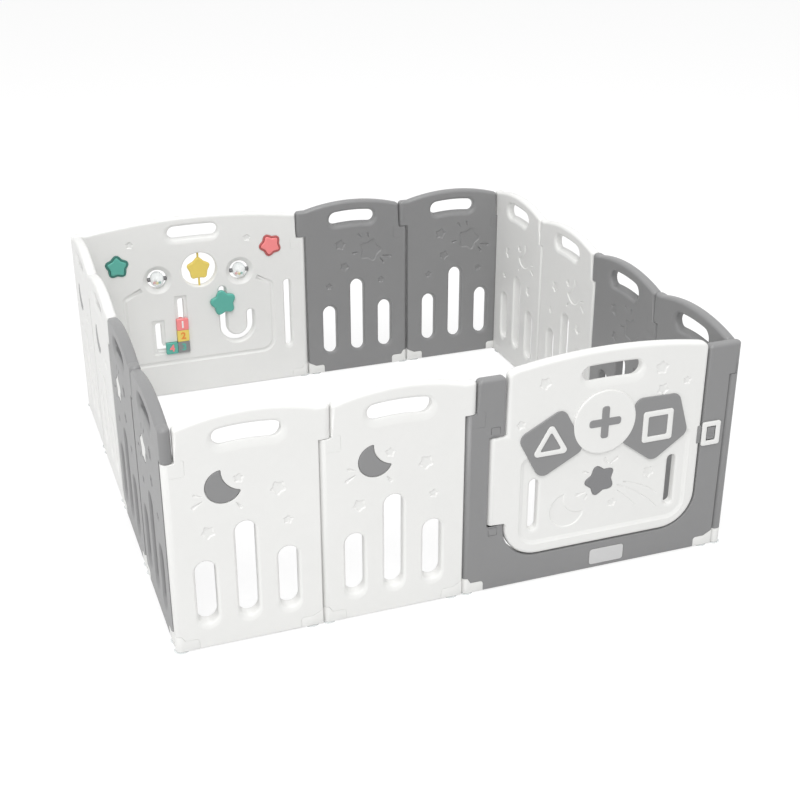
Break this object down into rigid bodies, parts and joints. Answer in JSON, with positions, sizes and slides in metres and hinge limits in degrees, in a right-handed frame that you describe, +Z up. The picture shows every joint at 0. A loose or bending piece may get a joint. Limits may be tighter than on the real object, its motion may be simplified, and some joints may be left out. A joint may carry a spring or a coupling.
{
  "type": "folding playpen",
  "caption": "Square ring of hinged plastic fence panels with arched tops, hand slots, a hinged gate with a sliding latch, and a panel of play pieces.",
  "frame": {"origin": "Centre of the square ring on the floor", "axes": "+X to the right and +Z up, with the gate's side facing -Y"},
  "size_m": [1.558, 1.569, 0.6509],
  "materials": {
    "white_plastic": "smooth moulded plastic with a soft sheen",
    "grey_plastic": "smooth moulded plastic with a soft sheen",
    "clear_plastic": "clear flexible plastic",
    "teal_plastic": "glossy moulded plastic",
    "dark_teal_plastic": "smooth moulded plastic",
    "red_plastic": "glossy moulded plastic",
    "yellow_plastic": "glossy moulded plastic"
  },
  "bodies": {
    "gate": {"gate_frame": "grey_plastic", "gate_feet": "white_plastic", "gate_hinge_pins": "grey_plastic"},
    "door": {"gate_door": "white_plastic", "square_badge": "grey_plastic", "disc_badge": "white_plastic", "pentagon_badge": "grey_plastic", "door_star": "grey_plastic", "door_keeper": "grey_plastic"},
    "latch": {"latch_slider": "white_plastic", "latch_grip": "grey_plastic"},
    "front_1": {"front_panel_1": "white_plastic", "front_moon_1": "grey_plastic", "front_feet_1": "white_plastic"},
    "front_2": {"front_panel_2": "white_plastic", "front_moon_2": "grey_plastic", "front_feet_2": "white_plastic"},
    "right_1": {"right_panel_1": "grey_plastic", "right_star_1": "white_plastic", "right_feet_1": "white_plastic"},
    "right_2": {"right_panel_2": "grey_plastic", "right_star_2": "white_plastic", "right_feet_2": "white_plastic"},
    "right_3": {"right_panel_3": "white_plastic", "right_moon_3": "grey_plastic", "right_feet_3": "white_plastic"},
    "right_4": {"right_panel_4": "white_plastic", "right_moon_4": "grey_plastic", "right_feet_4": "white_plastic"},
    "back_1": {"back_panel_1": "grey_plastic", "back_star_1": "white_plastic", "back_feet_1": "white_plastic"},
    "back_2": {"back_panel_2": "grey_plastic", "back_star_2": "white_plastic", "back_feet_2": "white_plastic"},
    "left_4": {"left_panel_4": "white_plastic", "left_moon_4": "grey_plastic", "left_feet_4": "white_plastic"},
    "left_3": {"left_panel_3": "white_plastic", "left_moon_3": "grey_plastic", "left_feet_3": "white_plastic"},
    "left_2": {"left_panel_2": "grey_plastic", "left_star_2": "white_plastic", "left_feet_2": "white_plastic"},
    "left_1": {"left_panel_1": "grey_plastic", "left_star_1": "white_plastic", "left_feet_1": "white_plastic"},
    "activity": {"activity_panel": "white_plastic", "button_rims": "dark_teal_plastic", "activity_feet": "white_plastic"},
    "teal_button": {"teal_button": "teal_plastic"},
    "red_button": {"red_button": "red_plastic"},
    "left_roller": {"left_roller": "clear_plastic"},
    "right_roller": {"right_roller": "clear_plastic"},
    "spinning_star": {"spinning_star": "yellow_plastic"},
    "slider_star": {"slider_star": "teal_plastic"},
    "red_block": {"red_block": "red_plastic"},
    "yellow_block": {"yellow_block": "yellow_plastic"},
    "grey_block": {"grey_block": "grey_plastic"},
    "teal_block": {"teal_block": "teal_plastic"}
  },
  "joints": [
    {"name": "ring_fold", "type": "hinge", "parent": "gate", "child": "front_2", "pos_m": [0, -0.76, 0.3], "axis": [0, 0, 1], "range_deg": [-33.75, 0]},
    {"name": "seam_right_1", "type": "hinge", "parent": "gate", "child": "right_1", "pos_m": [0.76, -0.76, 0.3], "axis": [0, 0, 1], "range_deg": [-56.25, 0]},
    {"name": "seam_right_2", "type": "hinge", "parent": "right_1", "child": "right_2", "pos_m": [0.76, -0.38, 0.3], "axis": [0, 0, 1], "range_deg": [0, 22.5]},
    {"name": "seam_right_3", "type": "hinge", "parent": "right_2", "child": "right_3", "pos_m": [0.76, 0, 0.3], "axis": [0, 0, 1], "range_deg": [0, 22.5]},
    {"name": "seam_right_4", "type": "hinge", "parent": "right_3", "child": "right_4", "pos_m": [0.76, 0.38, 0.3], "axis": [0, 0, 1], "range_deg": [0, 22.5]},
    {"name": "seam_back_1", "type": "hinge", "parent": "right_4", "child": "back_1", "pos_m": [0.76, 0.76, 0.3], "axis": [0, 0, 1], "range_deg": [-67.5, 0]},
    {"name": "seam_back_2", "type": "hinge", "parent": "back_1", "child": "back_2", "pos_m": [0.38, 0.76, 0.3], "axis": [0, 0, 1], "range_deg": [0, 22.5]},
    {"name": "seam_front_1", "type": "hinge", "parent": "front_2", "child": "front_1", "pos_m": [-0.38, -0.76, 0.3], "axis": [0, 0, 1], "range_deg": [-22.5, 0]},
    {"name": "seam_left_1", "type": "hinge", "parent": "front_1", "child": "left_1", "pos_m": [-0.76, -0.76, 0.3], "axis": [0, 0, 1], "range_deg": [0, 67.5]},
    {"name": "seam_left_2", "type": "hinge", "parent": "left_1", "child": "left_2", "pos_m": [-0.76, -0.38, 0.3], "axis": [0, 0, 1], "range_deg": [-22.5, 0]},
    {"name": "seam_left_3", "type": "hinge", "parent": "left_2", "child": "left_3", "pos_m": [-0.76, 0, 0.3], "axis": [0, 0, 1], "range_deg": [-22.5, 0]},
    {"name": "seam_left_4", "type": "hinge", "parent": "left_3", "child": "left_4", "pos_m": [-0.76, 0.38, 0.3], "axis": [0, 0, 1], "range_deg": [-22.5, 0]},
    {"name": "seam_activity", "type": "hinge", "parent": "left_4", "child": "activity", "pos_m": [-0.76, 0.76, 0.3], "axis": [0, 0, 1], "range_deg": [0, 56.25]},
    {"name": "door_hinge", "type": "hinge", "parent": "gate", "child": "door", "pos_m": [0.067, -0.76, 0.3], "axis": [0, 0, 1], "range_deg": [-90, 0]},
    {"name": "latch_slide", "type": "slide", "parent": "gate", "child": "latch", "axis": [1, 0, 0], "range_m": [0, 0.01]},
    {"name": "star_spin", "type": "hinge", "parent": "activity", "child": "spinning_star", "pos_m": [-0.362, 0.76, 0.45], "axis": [0, 0, 1], "continuous": true},
    {"name": "left_roll", "type": "hinge", "parent": "activity", "child": "left_roller", "pos_m": [-0.506, 0.76, 0.429], "axis": [1, 0, 0], "continuous": true},
    {"name": "right_roll", "type": "hinge", "parent": "activity", "child": "right_roller", "pos_m": [-0.222, 0.76, 0.429], "axis": [1, 0, 0], "continuous": true},
    {"name": "star_slide", "type": "slide", "parent": "activity", "child": "slider_star", "axis": [0, 0, 1], "range_m": [-0.09, 0.04]},
    {"name": "red_slide", "type": "slide", "parent": "activity", "child": "red_block", "axis": [0, 0, 1], "range_m": [0, 0.08]},
    {"name": "yellow_slide", "type": "slide", "parent": "activity", "child": "yellow_block", "axis": [0, 0, 1], "range_m": [0, 0.08]},
    {"name": "grey_slide", "type": "slide", "parent": "activity", "child": "grey_block", "axis": [0, 0, 1], "range_m": [0, 0.08]},
    {"name": "teal_slide", "type": "slide", "parent": "activity", "child": "teal_block", "axis": [-1, 0, 0], "range_m": [0, 0.04]},
    {"name": "teal_push", "type": "slide", "parent": "activity", "child": "teal_button", "axis": [0, 1, 0], "range_m": [0, 0.004], "stiffness_N_per_m": 400, "springref_m": -0.002},
    {"name": "red_push", "type": "slide", "parent": "activity", "child": "red_button", "axis": [0, 1, 0], "range_m": [0, 0.004], "stiffness_N_per_m": 400, "springref_m": -0.002}
  ],
  "couplings": [
    {"joint": "seam_right_1", "follows": "ring_fold", "ratio": 1.6667},
    {"joint": "seam_right_2", "follows": "ring_fold", "ratio": -0.66667},
    {"joint": "seam_right_3", "follows": "ring_fold", "ratio": -0.66667},
    {"joint": "seam_right_4", "follows": "ring_fold", "ratio": -0.66667},
    {"joint": "seam_back_1", "follows": "ring_fold", "ratio": 2},
    {"joint": "seam_back_2", "follows": "ring_fold", "ratio": -0.66667},
    {"joint": "seam_front_1", "follows": "ring_fold", "ratio": 0.66667},
    {"joint": "seam_left_1", "follows": "ring_fold", "ratio": -2},
    {"joint": "seam_left_2", "follows": "ring_fold", "ratio": 0.66667},
    {"joint": "seam_left_3", "follows": "ring_fold", "ratio": 0.66667},
    {"joint": "seam_left_4", "follows": "ring_fold", "ratio": 0.66667},
    {"joint": "seam_activity", "follows": "ring_fold", "ratio": -1.6667},
    {"joint": "yellow_slide", "follows": "red_slide", "ratio": 1},
    {"joint": "grey_slide", "follows": "red_slide", "ratio": 1}
  ]
}
